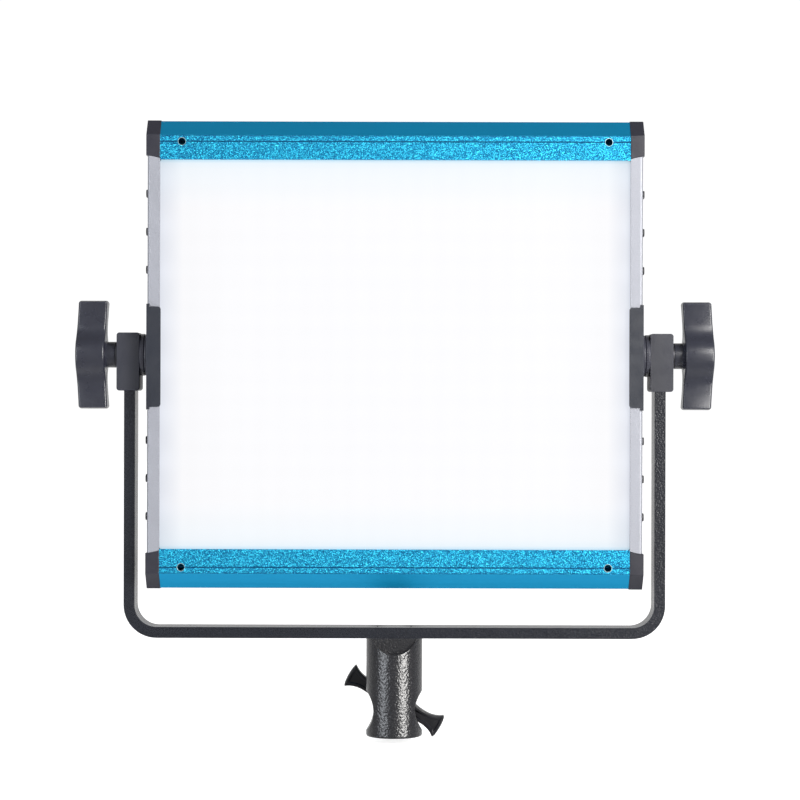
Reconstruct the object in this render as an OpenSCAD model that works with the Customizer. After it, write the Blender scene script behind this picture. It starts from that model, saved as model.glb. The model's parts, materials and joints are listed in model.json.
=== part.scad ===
// LED panel light on a U-shaped yoke with a 16 mm stand socket.
// X runs across the panel, Y from the lit face to the back, Z up.
// The origin is the middle of the stand socket's mouth.

/* [Panel] */
// Width of the panel over its corner caps
panel_w = 260; // [240:1:270]
// Height of the panel over its rails
panel_h = 245; // [230:1:250]
// Depth of the panel, lit face to rear lip
panel_d = 40; // [36:1:44]
// Height of a rail's flat front face
rail_face_h = 12.8; // [10:0.1:16]
// Size of the 45 degree slope along a rail's outer edge
rail_slope = 8; // [5:0.5:9]
// Wall of the rails and side frames
wall = 2; // [1.6:0.1:2.4]
// Length of a corner cap along the rail
cap_len = 7.1; // [6:0.1:9]
// How far the caps stand proud of the rails
cap_proud = 0.4; // [0.2:0.1:0.6]
// Distance between the accessory holes across the panel
hole_span = 223; // [200:1:226]
// Diameter of an accessory hole
hole_d = 3.8; // [3:0.1:4.2]

/* [Lamp] */
// Lamps in a row
led_cols = 20; // [10:2:22]
// Rows of lamps
led_rows = 16; // [8:2:18]
// Pitch of the lamps along a row
led_pitch_x = 11.75; // [8:0.25:12]
// Pitch of the rows
led_pitch_z = 12.3; // [8:0.1:12.4]

/* [Pivot] */
// Height of the tilt axis above the socket's mouth
pivot_z = 201.5; // [195:1:210]
// Height of the lip of a pivot plate on the front of the panel
plate_h = 52.4; // [44:0.1:60]
// Diameter of the friction washers
washer_d = 22.2; // [18:0.1:26]
// Diameter of the clamping studs
stud_d = 8; // [6:1:10]

/* [Yoke] */
// Width of the yoke over its arms
yoke_w = 285.2; // [284:0.1:288]
// Thickness of the yoke's bar
bar_t = 5.8; // [5:0.1:6]
// Depth of the yoke's bar, front to back
bar_d = 17; // [14:0.5:20]
// Outer radius of the yoke's bends
bend_r = 17.4; // [14:0.2:22]
// Height of the bar's lower face above the socket's mouth
bar_z = 52.3; // [48:0.1:56]

/* [Tilt knobs] */
// Length of a knob from wing tip to wing tip
knob_span = 57.2; // [50:0.2:60]
// Thickness of a knob at its rim
knob_t = 15.1; // [12:0.1:17]
// Half the width of a wing at its tip
knob_tip = 6.4; // [5.5:0.1:7]
// Half the width of a wing at its waist
knob_waist = 4.9; // [4.2:0.1:5.2]
// Diameter of the neck behind a knob
neck_d = 13.7; // [12:0.1:16]

/* [Stand adapter] */
// Diameter of the adapter
adapter_d = 29.6; // [27:0.1:32]
// Diameter of the socket for the stand's spigot
socket_d = 16.2; // [16.1:0.05:16.3]
// Depth of the socket
socket_h = 38; // [30:1:39]
// Height of the locking screw's axis
lock_z = 16.3; // [13:0.1:18]
// Length of the locking handle from tip to tip
handle_span = 56.2; // [44:0.2:60]
// How far the locking handle is turned at rest
handle_turn = 30; // [0:1:60]

/* [Back] */
// Width of the control housing
housing_w = 92; // [86:1:96]
// Height of the control housing
housing_h = 100; // [96:1:104]
// How far the control housing stands off the back
housing_d = 9; // [8:0.5:12]
// Distance of a battery plate's middle from the panel's middle
battery_x = 78; // [76:1:84]

/* [Hidden] */
$fn = 64;

half_w = panel_w / 2;
half_h = panel_h / 2;
half_d = panel_d / 2;
// Half the length of a rail, where the side frames and caps begin
rail_x = half_w - cap_len;
// Height of the rail's slope and of its inner edge, from the panel's middle
slope_v = half_h - rail_slope;
open_v = slope_v - rail_face_h;
// The accessory holes lie on a fine groove along the rail
groove_v = slope_v - 3.3;
groove_w = 0.6;
groove_deep = 0.5;
// The side frames are a little narrower than the caps
frame_x = half_w - 0.6;
edge_r = 1.5;
// A large circle rounds the seam between a cap and its side frame
seam_r = 22;
seam_v = 103.8 - seam_r;
seam_gap = 0.1;
// Sheets held behind the lips
sheet_t = 2;
sheet_gap = 0.1;
sheet_reach = 7;
// Pivot plate, sunk in a pocket of the side frame
plate_x = half_w - 0.2;
plate_x0 = frame_x - 1.1;
plate_y1 = half_d - 1;
plate_inner = rail_x - 0.6;
plate_r = 1.6;
plate_drop = 1.3;
plate_flare = 1.4;
plate_lip = 0.7;
boss_r = 13;
boss_in = 9;
bore_r = stud_d / 2;
stud_r = stud_d / 2 - 0.05;
pass_r = stud_d / 2 + 0.2;
pivot_screw_y = 13.5;
pivot_screw_v = 19;
// Countersunk screws of the plates and the cover: head and shank radius
head_r = 2.7;
shank_r = 1.5;
pivot_screw_l = 6;
cover_screw_l = 7;
// Screws of the corner caps
cap_head_r = 2.8;
cap_screw_l = 8;
cap_screw_down = 6;
// Washers: one turns with the panel, one stays on the yoke
washer_gap = 0.1;
block_x0 = 134.4;
block_x1 = 146.6;
washer_t = (block_x0 - plate_x - washer_gap) / 2;
// Arm blocks
block_top = 11.6;
block_low = 19;
block_r = 1.5;
block_half_d = bar_d / 2 + 0.6;
fit = 0.1;
arm_x1 = yoke_w / 2;
arm_x0 = arm_x1 - bar_t;
arm_end = 8;
arm_top = pivot_z + arm_end;
// Tilt knobs
thrust_t = 1;
knob_x0 = 151.8;
knob_x1 = knob_x0 + knob_t;
knob_rise = 2;
knob_hollow = 1;
knob_rim = 0.8;
stud_end = knob_x0 + 10;
hub_r = 12;
waist_v = 17;
// Adapter
adapter_r = adapter_d / 2;
socket_r = socket_d / 2;
flat_y = bar_d / 2;
flat_r = 12.3;
flat_z = 56.2;
scallop_r = 16.4;
scallop_z = 13.8;
scallop_deep = 3.9;
top_screw_x = 8.9;
top_head_r = 4.6;
top_shank_r = 2.5;
top_screw_l = 16;
lock_r = 3;
handle_y0 = 17.5;
handle_y1 = 24.5;
handle_tip = 6.7;
handle_waist = 2.9;
handle_waist_at = 18;
handle_hub = 7.5;
handle_boss = 1.5;
// Back
back_y = half_d;
fascia_y = back_y + housing_d;
housing_v = -12;
dial_x = 26;
dial_v = -12;
button_x = 9;
switch_x = -20;
inlet_x = 20;
lower_v = -44;
battery_v = -14;
rocker_rest = 8;
cover_screw_at = [for (x = [-114, 0, 114], v = [-96, 96]) [x, v]];

// ---------------------------------------------------------------- helpers

// Places children at the tilt axis, where the panel's middle is
module at_pivot() {
    translate([0, 0, pivot_z]) children();
}

// Extrudes an outline drawn in Y and Z along X, from x0 to x1
module along_x(x0, x1) {
    translate([x0, 0, 0]) rotate([90, 0, 90]) linear_extrude(x1 - x0) children();
}

// Extrudes an outline drawn in X and Z along Y, from y0 to y1
module along_y(y0, y1) {
    translate([0, y1, 0]) rotate([90, 0, 0]) linear_extrude(y1 - y0) children();
}

// A cylinder along X from x0 to x1
module rod_x(r, x0, x1) {
    translate([x0, 0, 0]) rotate([0, 90, 0]) cylinder(r = r, h = x1 - x0);
}

// A cylinder along Y from y0 to y1
module rod_y(r, y0, y1) {
    translate([0, y0, 0]) rotate([-90, 0, 0]) cylinder(r = r, h = y1 - y0);
}

// A box between two corners
module span(low, high) {
    translate(low) cube(high - low);
}

// An outline with round corners, centred
module round_rect(w, h, r) {
    square([w - 2 * r, h], center = true);
    square([w, h - 2 * r], center = true);
    for (x = [-1, 1], y = [-1, 1])
        translate([x * (w / 2 - r), y * (h / 2 - r)]) circle(r = r);
}

// A long hole with round ends, centred
module slot(w, h) {
    square([w - h, h], center = true);
    for (x = [-1, 1]) translate([x * (w - h) / 2, 0]) circle(r = h / 2);
}

// A countersunk screw along Y, its flat head at y = 0 and its tip at y = -length
module flat_screw(head_r, shank_r, length) {
    rotate([90, 0, 0]) {
        difference() {
            cylinder(r1 = head_r, r2 = shank_r, h = head_r - shank_r);
            for (a = [0, 90]) rotate([0, 0, a])
                translate([-head_r * 0.55, -0.35, -1]) cube([head_r * 1.1, 0.7, 1.6]);
        }
        translate([0, 0, head_r - shank_r]) cylinder(r = shank_r, h = length - head_r + shank_r);
    }
}

// The hole that a flat_screw sits in
module flat_screw_hole(head_r, shank_r, length) {
    rotate([90, 0, 0]) {
        translate([0, 0, -0.01])
            cylinder(r1 = head_r + 0.1, r2 = shank_r + 0.09, h = head_r - shank_r + 0.01);
        cylinder(r = shank_r + 0.1, h = length + 0.3);
    }
}

// ---------------------------------------------------------------- rails and caps

// Outline of a rail, drawn in Y and Z, grown by g
module rail_outline(g) {
    polygon([
        [-half_d - g, open_v], [-half_d - g, slope_v + g * 0.4],
        [-half_d + rail_slope - g * 0.4, half_h + g], [half_d - rail_slope + g * 0.4, half_h + g],
        [half_d + g, slope_v + g * 0.4], [half_d + g, open_v]
    ]);
}

module rail_hollow() {
    k = wall * 0.414;
    polygon([
        [-half_d + wall, open_v - 1], [-half_d + wall, slope_v - k],
        [-half_d + rail_slope + k, half_h - wall], [half_d - rail_slope - k, half_h - wall],
        [half_d - wall, slope_v - k], [half_d - wall, open_v - 1]
    ]);
}

// The upper rail about the panel's middle: an open channel that holds the sheets
module rail() {
    difference() {
        along_x(-rail_x, rail_x) difference() {
            rail_outline(0);
            rail_hollow();
        }
        span([-rail_x - 1, -half_d - 1, groove_v - groove_w / 2],
             [rail_x + 1, -half_d + groove_deep, groove_v + groove_w / 2]);
        for (x = [-1, 1]) translate([x * hole_span / 2, 0, groove_v])
            rod_y(hole_d / 2, -half_d - 1, -half_d + wall + 1);
    }
}

module top_rail() {
    color("steelblue") at_pivot() rail();
}

module bottom_rail() {
    color("steelblue") at_pivot() mirror([0, 0, 1]) rail();
}

// The upper right cap about the panel's middle, with the plug that goes into the rail
module corner_cap() {
    difference() {
        union() {
            along_x(rail_x, half_w + 0.1) rail_outline(cap_proud);
            span([rail_x - 5, -9.5, slope_v + 0.5], [rail_x, 9.5, half_h - wall - 0.2]);
        }
        translate([half_w + 0.6, 0, seam_v]) rod_y(seam_r, -half_d - 2, half_d + 2);
        translate([half_w + 0.1, 0, half_h - cap_screw_down]) rotate([0, 0, -90])
            flat_screw_hole(cap_head_r, shank_r, cap_screw_l);
    }
}

module corner_cap_top_left() {
    color("#2f303a") at_pivot() mirror([1, 0, 0]) corner_cap();
}

module corner_cap_top_right() {
    color("#2f303a") at_pivot() corner_cap();
}

module corner_cap_bottom_left() {
    color("#2f303a") at_pivot() mirror([1, 0, 0]) mirror([0, 0, 1]) corner_cap();
}

module corner_cap_bottom_right() {
    color("#2f303a") at_pivot() mirror([0, 0, 1]) corner_cap();
}

module cap_screws() {
    color("#202124") at_pivot() for (x = [0, 1], z = [0, 1])
        mirror([x, 0, 0]) mirror([0, 0, z])
            translate([half_w + 0.05, 0, half_h - cap_screw_down]) rotate([0, 0, -90])
                flat_screw(cap_head_r, shank_r, cap_screw_l);
}

// ---------------------------------------------------------------- side frames

vent_v = [44.8, 64.8, 84.8];
vent_l = 24;
vent_h = 4.1;
vent_proud = 1.5;
vent_drop = 0.2;

// Outline of the right side frame, drawn in X and Y
module side_outline() {
    difference() {
        union() {
            translate([rail_x, -half_d]) square([frame_x - rail_x - edge_r, panel_d]);
            translate([rail_x, -half_d + edge_r]) square([frame_x - rail_x, panel_d - 2 * edge_r]);
            for (y = [-1, 1]) translate([frame_x - edge_r, y * (half_d - edge_r)]) circle(r = edge_r);
        }
        translate([rail_x - 1, -half_d + wall])
            square([frame_x - wall - rail_x + 1, panel_d - 2 * wall]);
    }
}

module side_frame() {
    top_v = seam_v + seam_r;
    difference() {
        translate([0, 0, -top_v - 1]) linear_extrude(2 * top_v + 2) side_outline();
        // The ends are rounded to meet the corner caps
        for (z = [0, 1]) mirror([0, 0, z]) difference() {
            span([rail_x - 1, -half_d - 1, open_v - 0.5], [half_w + 1, half_d + 1, top_v + 2]);
            translate([half_w + 0.6, 0, seam_v]) rod_y(seam_r - seam_gap, -half_d - 2, half_d + 2);
        }
        rod_x(boss_r + 2 * fit, frame_x - wall - 1, frame_x + 1);
        // Pocket for the pivot plate
        translate([0, 0, -plate_drop])
            span([plate_x0 - fit, -half_d - 1, -plate_h / 2 - plate_flare - fit],
                 [frame_x + 1, plate_y1 + fit, plate_h / 2 + plate_flare + fit]);
        for (z = vent_v, s = [-1, 1]) translate([0, 0, s * z - vent_drop])
            along_x(frame_x - wall - 1, frame_x + 1) slot(vent_l - 1.2, vent_h - 1.2);
        for (y = [-1, 1], z = [-1, 1])
            translate([0, y * pivot_screw_y, z * pivot_screw_v - plate_drop])
                rod_x(shank_r + 0.15, frame_x - wall - 1, frame_x + 1);
    }
}

module side_frame_left() {
    color("#bfc4d0") at_pivot() mirror([1, 0, 0]) side_frame();
}

module side_frame_right() {
    color("#bfc4d0") at_pivot() side_frame();
}

// Black vent surrounds pressed into the slots of a side frame
module side_vents() {
    for (z = vent_v, s = [-1, 1]) translate([0, 0, s * z - vent_drop]) difference() {
        union() {
            along_x(frame_x, frame_x + vent_proud) slot(vent_l, vent_h);
            along_x(frame_x - wall - 1, frame_x) slot(vent_l - 1.4, vent_h - 1.4);
        }
        along_x(frame_x - wall - 2, frame_x + 1) slot(vent_l - 3, vent_h - 2.8);
    }
}

module side_vents_left() {
    color("#1d1d20") at_pivot() mirror([1, 0, 0]) side_vents();
}

module side_vents_right() {
    color("#1d1d20") at_pivot() side_vents();
}

// ---------------------------------------------------------------- pivot plates and washers

// Right pivot plate: a lip on the front, a plate on the side, a boss inside with the clamping thread
module pivot_plate() {
    translate([0, 0, -plate_drop]) {
        // Front lip with round inner corners
        along_y(-half_d - plate_lip, -half_d) {
            translate([plate_inner + plate_r, -plate_h / 2])
                square([plate_x - plate_inner - plate_r, plate_h]);
            translate([plate_inner, -plate_h / 2 + plate_r])
                square([plate_x - plate_inner, plate_h - 2 * plate_r]);
            for (z = [-1, 1]) translate([plate_inner + plate_r, z * (plate_h / 2 - plate_r)])
                circle(r = plate_r);
            for (z = [-1, 1]) translate([0, z * plate_h / 2]) mirror([0, z < 0 ? 1 : 0])
                difference() {
                    translate([plate_x - plate_flare, 0]) square([plate_flare, plate_flare]);
                    translate([plate_x - plate_flare, plate_flare]) circle(r = plate_flare - 0.25);
                }
        }
    }
    difference() {
        union() {
            translate([0, 0, -plate_drop])
                span([plate_x0, -half_d - plate_lip, -plate_h / 2 - plate_flare],
                     [plate_x, plate_y1, plate_h / 2 + plate_flare]);
            rod_x(boss_r, frame_x - boss_in, plate_x0);
        }
        rod_x(bore_r, frame_x - boss_in + 1, plate_x + 1);
        for (y = [-1, 1], z = [-1, 1])
            translate([plate_x, y * pivot_screw_y, z * pivot_screw_v - plate_drop])
                rotate([0, 0, -90]) flat_screw_hole(head_r, shank_r, pivot_screw_l);
    }
}

module pivot_plate_left() {
    color("#484b55") at_pivot() mirror([1, 0, 0]) pivot_plate();
}

module pivot_plate_right() {
    color("#484b55") at_pivot() pivot_plate();
}

module pivot_screws() {
    color("#202124") at_pivot() for (s = [0, 1]) mirror([s, 0, 0])
        for (y = [-1, 1], z = [-1, 1])
            translate([plate_x - 0.05, y * pivot_screw_y, z * pivot_screw_v - plate_drop])
                rotate([0, 0, -90]) flat_screw(head_r, shank_r, pivot_screw_l);
}

// A friction disc on the tilt axis with its rim chamfered, from x0 to x1
module friction_disc(x0, x1) {
    c = 0.35;
    translate([x0, 0, 0]) rotate([0, 90, 0]) rotate_extrude() polygon([
        [pass_r, 0], [washer_d / 2 - c, 0], [washer_d / 2, c],
        [washer_d / 2, x1 - x0 - c], [washer_d / 2 - c, x1 - x0], [pass_r, x1 - x0]
    ]);
}

module panel_washer_left() {
    color("#3a3c45") at_pivot() mirror([1, 0, 0]) friction_disc(plate_x, plate_x + washer_t);
}

module panel_washer_right() {
    color("#3a3c45") at_pivot() friction_disc(plate_x, plate_x + washer_t);
}

module yoke_washer_left() {
    color("#2b2d35") at_pivot() mirror([1, 0, 0]) friction_disc(block_x0 - washer_t, block_x0);
}

module yoke_washer_right() {
    color("#2b2d35") at_pivot() friction_disc(block_x0 - washer_t, block_x0);
}

// ---------------------------------------------------------------- lamp

// A sheet that fills the opening and reaches behind the lips, leaving the corners to the caps
module sheet_outline(reach) {
    square([2 * (rail_x - 0.4), 2 * (open_v + reach)], center = true);
    square([2 * (frame_x - wall - 0.2), 2 * (open_v - 0.4)], center = true);
}

module diffuser() {
    y0 = -half_d + wall + sheet_gap;
    color("white") at_pivot() along_y(y0, y0 + sheet_t) sheet_outline(sheet_reach);
}

chamber_y0 = -half_d + wall + sheet_gap + sheet_t;
chamber_w = 238;
chamber_h = 2 * open_v + 4;
chamber_wall = 1.5;
board_y0 = -2;
board_w = 239;
board_t = 1.6;
lamp_size = [3.5, 0.8, 2.8];
plate_y0 = board_y0 + board_t;

module light_chamber() {
    color("#f4f4f2") at_pivot() along_y(chamber_y0, board_y0) difference() {
        square([chamber_w, chamber_h], center = true);
        square([chamber_w - 2 * chamber_wall, chamber_h - 2 * chamber_wall], center = true);
    }
}

module led_board() {
    color("#e9ece9") at_pivot() along_y(board_y0, board_y0 + board_t)
        square([board_w, chamber_h + 2], center = true);
}

// Every second lamp of the grid; parity 0 or 1 picks the set
module led_set(parity) {
    for (i = [0 : led_cols - 1], j = [0 : led_rows - 1])
        if ((i + j) % 2 == parity)
            translate([(i - (led_cols - 1) / 2) * led_pitch_x - lamp_size[0] / 2, board_y0 - lamp_size[1],
                       (j - (led_rows - 1) / 2) * led_pitch_z - lamp_size[2] / 2])
                cube(lamp_size);
}

module warm_leds() {
    color("#e8c46a") at_pivot() led_set(0);
}

module cool_leds() {
    color("#f0ecc0") at_pivot() led_set(1);
}

spreader_w = 236;
spreader_h = 208;
spreader_y1 = plate_y0 + 2;
fin_pitch = 18;
fin_t = 2;
fin_d = 8;
fin_l = 180;
post_r = 3.6;

module heat_spreader() {
    color("silver") at_pivot() {
        span([-spreader_w / 2, plate_y0, -spreader_h / 2], [spreader_w / 2, spreader_y1, spreader_h / 2]);
        // Fins on both sides of the driver board
        for (i = [-5 : 5]) if (abs(i) > 2)
            span([i * fin_pitch - fin_t / 2, spreader_y1, -fin_l / 2],
                 [i * fin_pitch + fin_t / 2, spreader_y1 + fin_d, fin_l / 2]);
        // Posts that the rear cover is screwed to
        for (p = cover_screw_at) translate([p[0], 0, p[1]]) difference() {
            rod_y(post_r, spreader_y1, half_d - wall - sheet_gap - sheet_t);
            rod_y(shank_r + fit, spreader_y1 + 6, half_d);
        }
    }
}

driver_y = 8;
driver_w = 76;
driver_h = 68;
coil = [12, 5.4, 12];
can_r = 4;
can_h = 5.8;

module driver_board() {
    color("#2f6b3c") at_pivot() {
        span([-driver_w / 2, driver_y, -driver_h / 2], [driver_w / 2, driver_y + board_t, driver_h / 2]);
        // Spacers, coils and capacitors
        for (x = [-1, 1], z = [-1, 1]) translate([x * (driver_w / 2 - 4), 0, z * (driver_h / 2 - 4)])
            rod_y(2.5, spreader_y1, driver_y);
        for (x = [-22, 0, 22]) translate([x - coil[0] / 2, driver_y + board_t, 8]) cube(coil);
        for (x = [-26, -14]) translate([x, 0, -16])
            rod_y(can_r, driver_y + board_t, driver_y + board_t + can_h);
    }
}

// The lead from the driver board to the power inlet
harness_r = 1.6;
harness_y = 14;
harness_end = inlet_x - 2.8;

module lead(a, b) {
    d = b - a;
    translate(a) rotate([0, acos(d[2] / norm(d)), atan2(d[1], d[0])]) cylinder(r = harness_r, h = norm(d));
}

module wiring_harness() {
    points = [[30, driver_y + board_t, -10], [30, harness_y, -10], [30, harness_y, lower_v],
              [harness_end, harness_y, lower_v], [harness_end, fascia_y - inlet_deep, lower_v]];
    color("#b02a2a") at_pivot() {
        for (i = [0 : len(points) - 2]) lead(points[i], points[i + 1]);
        for (i = [1 : len(points) - 2]) translate(points[i]) sphere(r = harness_r + 0.2);
    }
}

// ---------------------------------------------------------------- back

// The hollow inside the cover leaves a rim for its screws
cover_rim_x = 28;
cover_rim_z = 24;
slot_l = 15;
slot_w = 3.2;
slot_pitch = 11;

module rear_cover() {
    y1 = half_d - wall - sheet_gap;
    color("#26272b") at_pivot() difference() {
        union() {
            along_y(y1 - sheet_t, y1) sheet_outline(sheet_reach);
            along_y(y1, back_y) square([2 * rail_x - 1, 2 * open_v - 1], center = true);
        }
        along_y(y1 - sheet_t - 1, back_y - wall)
            square([2 * rail_x - cover_rim_x, 2 * open_v - cover_rim_z], center = true);
        // Opening behind the control housing
        along_y(back_y - wall - 1, back_y + 1) translate([0, -20]) square([70, 70], center = true);
        // Banks of cooling slots
        for (v = [-80, 62, 82], i = [-9 : 9]) translate([i * slot_pitch, 0, v])
            rotate([0, 90, 0]) along_y(back_y - wall - 1, back_y + 1) slot(slot_l, slot_w);
        for (p = cover_screw_at) translate([p[0], back_y, p[1]])
            flat_screw_hole(head_r, shank_r, cover_screw_l);
    }
}

module cover_screws() {
    color("#202124") at_pivot() for (p = cover_screw_at)
        translate([p[0], back_y - 0.05, p[1]]) flat_screw(head_r, shank_r, cover_screw_l);
}

window_w = 54;
window_h = 26;
window_v = 20;
window_lip = 2;
housing_r = 6;
bushing_r = 3.6;
button_r = 3.5;
hole_gap = 0.2;
switch_w = 19;
switch_h = 13;
inlet_r = 5.5;
inlet_deep = 8;
flange_t = 1.4;

module control_housing() {
    color("#2a2b30") at_pivot() translate([0, 0, housing_v]) difference() {
        union() {
            along_y(back_y, fascia_y - 1.5) round_rect(housing_w, housing_h, housing_r);
            along_y(fascia_y - 1.5, fascia_y) round_rect(housing_w - 3, housing_h - 3, housing_r - 1);
        }
        along_y(back_y - 1, fascia_y - wall)
            round_rect(housing_w - 2 * wall, housing_h - 2 * wall, housing_r - wall);
        // Display window, recessed from outside
        along_y(fascia_y - 1, fascia_y + 1) translate([0, window_v - housing_v])
            square([window_w, window_h], center = true);
        along_y(fascia_y - wall - 1, fascia_y) translate([0, window_v - housing_v])
            square([window_w - 2 * window_lip, window_h - 2 * window_lip], center = true);
        for (x = [-1, 1]) translate([x * dial_x, 0, dial_v - housing_v])
            rod_y(bushing_r + hole_gap, fascia_y - wall - 1, fascia_y + 1);
        for (x = [-1, 1]) translate([x * button_x, 0, dial_v - housing_v])
            rod_y(button_r + hole_gap, fascia_y - wall - 1, fascia_y + 1);
        along_y(fascia_y - wall - 1, fascia_y + 1) translate([switch_x, lower_v - housing_v])
            square([switch_w + 2 * hole_gap, switch_h + 2 * hole_gap], center = true);
        translate([inlet_x, 0, lower_v - housing_v])
            rod_y(inlet_r + hole_gap, fascia_y - wall - 1, fascia_y + 1);
    }
}

control_y = back_y + 0.8;
control_w = 82;
control_y1 = control_y + board_t;

module control_board() {
    color("#2f6b3c") at_pivot() span([-control_w / 2, control_y, -26], [control_w / 2, control_y1, 34]);
}

module display_module() {
    color("#93a28c") at_pivot() translate([0, 0, window_v])
        span([-window_w / 2 - 1, control_y1, -window_h / 2 - 0.5],
             [window_w / 2 + 1, fascia_y - wall - 0.3, window_h / 2 + 0.5]);
}

module display_window() {
    color([0.2, 0.22, 0.24, 0.6]) at_pivot() translate([0, 0, window_v])
        along_y(fascia_y - 0.95, fascia_y - 0.05) square([window_w - 0.3, window_h - 0.3], center = true);
}

shaft_r = 3;
dial_r = 8.2;
dial_y0 = fascia_y + 1.4;
dial_y1 = fascia_y + 11;
dial_step = 0.8;

// The two rotary encoders with their threaded bushings
module encoders() {
    color("silver") at_pivot() for (x = [-1, 1]) translate([x * dial_x, 0, dial_v]) difference() {
        union() {
            span([-5.5, control_y1, -5.5], [5.5, fascia_y - wall - 0.4, 5.5]);
            rod_y(bushing_r, fascia_y - wall - 0.4, fascia_y + 1);
        }
        rod_y(shaft_r + 0.05, control_y1 + 1.5, fascia_y + 2);
    }
}

// A dial with a knurled grip and its shaft
module dial() {
    difference() {
        union() {
            rod_y(dial_r, dial_y0, dial_y1);
            rod_y(dial_r - dial_step, dial_y1, dial_y1 + dial_step);
        }
        for (a = [0 : 15 : 345]) rotate([0, a, 0]) translate([dial_r + 0.4, 0, 0])
            rod_y(0.7, dial_y0 + 1.1, dial_y1 + 1);
    }
    rod_y(shaft_r, fascia_y - 4, dial_y0);
}

module brightness_knob() {
    color("#17181a") at_pivot() translate([-dial_x, 0, dial_v]) dial();
}

module colour_knob() {
    color("#17181a") at_pivot() translate([dial_x, 0, dial_v]) dial();
}

// A push button with the flange that keeps it behind the fascia
module push_button() {
    rod_y(button_r, fascia_y - wall - 0.3, fascia_y + 1.6);
    rod_y(button_r + 1, fascia_y - wall - 1.6, fascia_y - wall - 0.3);
    rod_y(1.5, control_y1 + 1.3, fascia_y - wall - 1.6);
}

module mode_button() {
    color("#4a4b50") at_pivot() translate([-button_x, 0, dial_v]) push_button();
}

module menu_button() {
    color("#4a4b50") at_pivot() translate([button_x, 0, dial_v]) push_button();
}

rocker_y = fascia_y - 1.2;
rocker_w = 10.6;
pin_r = 1;
pin_l = 12.2;

module switch_housing() {
    color("#17181a") at_pivot() translate([switch_x, 0, lower_v]) difference() {
        union() {
            along_y(fascia_y, fascia_y + flange_t) round_rect(switch_w + 2.6, switch_h + 2.6, 1.2);
            span([-switch_w / 2, fascia_y - inlet_deep, -switch_h / 2],
                 [switch_w / 2, fascia_y, switch_h / 2]);
        }
        span([-switch_w / 2 + 1, fascia_y - inlet_deep + 1, -rocker_w / 2 - 0.3],
             [switch_w / 2 - 1, fascia_y + 2, rocker_w / 2 + 0.3]);
        translate([0, rocker_y, -pin_l / 2 - 0.2]) cylinder(r = pin_r + 0.05, h = pin_l + 0.4);
    }
}

// The rocker turns about an upright pin, so one half stands out at a time
module power_rocker() {
    color("#b5161c") at_pivot() translate([switch_x, rocker_y, lower_v]) rotate([0, 0, -rocker_rest])
        translate([0, 0, -rocker_w / 2]) {
            linear_extrude(rocker_w) intersection() {
                circle(r = 8.1);
                polygon([[-8.1, 1.2], [-8.1, 4.6], [0, 2.6], [8.1, 4.6], [8.1, 1.2], [3, -2.5], [-3, -2.5]]);
            }
            translate([0, 0, (rocker_w - pin_l) / 2]) cylinder(r = pin_r, h = pin_l);
        }
}

module dc_inlet() {
    color("#101113") at_pivot() translate([inlet_x, 0, lower_v]) difference() {
        union() {
            rod_y(inlet_r, fascia_y - inlet_deep, fascia_y);
            rod_y(inlet_r + 1.5, fascia_y, fascia_y + flange_t);
        }
        rod_y(3.2, fascia_y - inlet_deep + 1, fascia_y + 2);
        rod_y(1, fascia_y - inlet_deep - 1, fascia_y - inlet_deep + 2);
    }
}

// ---------------------------------------------------------------- battery plates

plate_bw = 42;
plate_bh = 74;
plate_by = back_y + 4;
rail_bx = 17.5;
rail_bl = 33;
blade_x = [-8, 0, 8];

module battery_plate() {
    translate([0, 0, battery_v]) difference() {
        union() {
            along_y(back_y, plate_by) round_rect(plate_bw, plate_bh, 3);
            // Guide rails with hooked lips on both long sides
            for (s = [0, 1]) mirror([s, 0, 0]) {
                span([rail_bx, plate_by, -rail_bl], [rail_bx + 2.5, plate_by + 4, rail_bl]);
                for (z = [-26, 0, 26])
                    span([rail_bx - 1.6, plate_by + 2.6, z - 5], [rail_bx, plate_by + 4, z + 5]);
            }
            // Contact block
            span([-13, plate_by, -rail_bl], [13, plate_by + 3, 6 - rail_bl]);
        }
        // Slots for the contact blades
        for (x = blade_x) span([x - 0.6, plate_by - 1, -31.5], [x + 0.6, plate_by + 4, -26]);
        // Pocket for the release latch
        span([-7.3, back_y + 1, 20.7], [7.3, back_y + 5, 34.3]);
    }
}

module battery_plate_left() {
    color("#1b1c1f") at_pivot() translate([-battery_x, 0, 0]) battery_plate();
}

module battery_plate_right() {
    color("#1b1c1f") at_pivot() translate([battery_x, 0, 0]) battery_plate();
}

// Contact blades of both battery plates and the pin of the power inlet
module power_contacts() {
    color("#c9a24a") at_pivot() {
        for (s = [-1, 1], x = blade_x) translate([s * battery_x + x, 0, battery_v])
            span([-0.5, plate_by - 0.9, -31.3], [0.5, plate_by + 2.4, -26.2]);
        translate([inlet_x, 0, lower_v]) rod_y(0.95, fascia_y - inlet_deep - 0.5, fascia_y - 1);
    }
}

// Release latch that slides down against its spring
module battery_latch() {
    translate([0, 0, battery_v]) {
        span([-6.8, back_y + 1.2, 24.4], [6.8, back_y + 4.4, 34]);
        span([-6.8, back_y + 4.4, 29], [6.8, back_y + 7.4, 34]);
        span([-4, back_y + 4.4, 24.4], [4, back_y + 5.6, 26.4]);
    }
}

module battery_latch_left() {
    color("#6b6e75") at_pivot() translate([-battery_x, 0, 0]) battery_latch();
}

module battery_latch_right() {
    color("#6b6e75") at_pivot() translate([battery_x, 0, 0]) battery_latch();
}

// ---------------------------------------------------------------- yoke

// A quarter of the bend, drawn in X and Z about its centre
module bend_outline() {
    intersection() {
        difference() {
            circle(r = bend_r);
            circle(r = bend_r - bar_t);
        }
        translate([0, -bend_r - 1]) square([bend_r + 1, bend_r + 1]);
    }
}

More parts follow.
